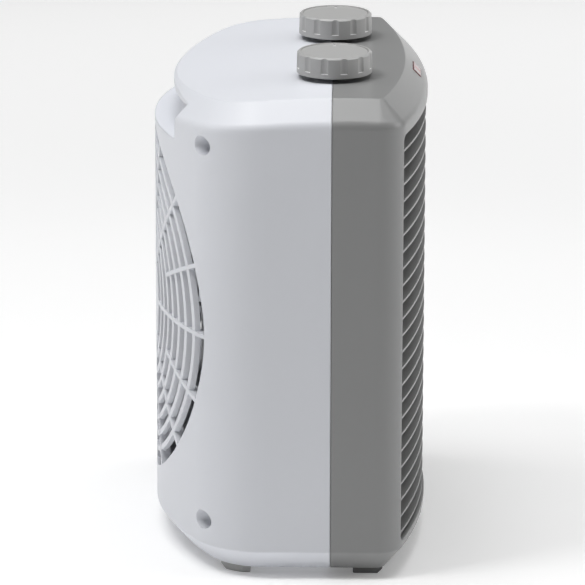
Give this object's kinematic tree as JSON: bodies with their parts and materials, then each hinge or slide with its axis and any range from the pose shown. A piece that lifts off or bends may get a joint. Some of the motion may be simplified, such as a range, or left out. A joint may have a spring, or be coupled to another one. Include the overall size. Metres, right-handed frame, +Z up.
{
  "type": "ceramic heater",
  "caption": "Small upright ceramic fan heater: bowed light rear shell with a round intake grille, grey front with a louvre, two fluted knobs on top.",
  "frame": {"origin": "on the floor, under the middle of the casing's outer box", "axes": "+Z up, the front louvre looks towards -Y, +X to the right of someone who faces the front"},
  "size_m": [0.212, 0.14, 0.26],
  "materials": {
    "casing_light": "fine satin",
    "casing_grey": "fine grain",
    "grille_grey": "fine grain",
    "knob_grey": "satin",
    "steel": "zinc plated",
    "shaft_steel": "ground",
    "core_steel": "stacked sheet",
    "dark_steel": "matt",
    "bronze": "sintered",
    "winding": "enamelled wire on a bobbin",
    "black_plastic": "moulded",
    "fan_plastic": "moulded",
    "mica_frame": "heat-proof moulding",
    "aluminium_fins": "folded strip",
    "ceramic": "fired, unglazed",
    "tab_metal": "plated",
    "lens_red": "clear tint",
    "lamp_glass": "clear",
    "foot_light": "matt",
    "foot_dark": "matt",
    "terminal_grey": "moulded"
  },
  "bodies": {
    "casing": {"rear_shell": "casing_light", "front_shell": "casing_grey", "front_grille": "grille_grey", "selector_switch": "black_plastic", "thermostat": "terminal_grey", "control_plate": "steel", "spindle_nuts": "steel", "control_screws": "steel", "case_screws": "steel", "deck_screws": "steel", "baffle_screws": "steel", "frame_screws": "steel", "fan_deck": "black_plastic", "motor_stack": "core_steel", "motor_coil": "winding", "rear_bearing_bracket": "steel", "front_bearing_bracket": "steel", "motor_bearings": "bronze", "motor_bolts": "steel", "motor_nuts": "steel", "baffle_plate": "dark_steel", "element_frame": "mica_frame", "heat_fins": "aluminium_fins", "ceramic_bars": "ceramic", "element_terminals": "tab_metal", "thermal_cutout": "tab_metal", "pilot_lens": "lens_red", "pilot_lamp": "lamp_glass", "rear_feet": "foot_light", "front_feet": "foot_dark", "cord_bush": "black_plastic", "cord_clamp": "black_plastic", "clamp_screws": "steel", "terminal_block": "terminal_grey"},
    "selector": {"selector_knob": "knob_grey", "selector_spindle": "shaft_steel"},
    "thermostat_control": {"thermostat_knob": "knob_grey", "thermostat_spindle": "shaft_steel"},
    "fan": {"fan_impeller": "fan_plastic", "motor_shaft": "shaft_steel", "motor_rotor": "core_steel"}
  },
  "joints": [
    {"name": "selector_turn", "type": "hinge", "parent": "casing", "child": "selector", "pos_m": [-0.04525, -0.0223, 0.244], "axis": [0, 0, -1], "range_deg": [-90, 45]},
    {"name": "thermostat_turn", "type": "hinge", "parent": "casing", "child": "thermostat_control", "pos_m": [0.04525, -0.0223, 0.244], "axis": [0, 0, -1], "range_deg": [-225, 45]},
    {"name": "fan_spin", "type": "hinge", "parent": "casing", "child": "fan", "pos_m": [0, 0.03, 0.1233], "axis": [0, 1, 0], "continuous": true}
  ]
}
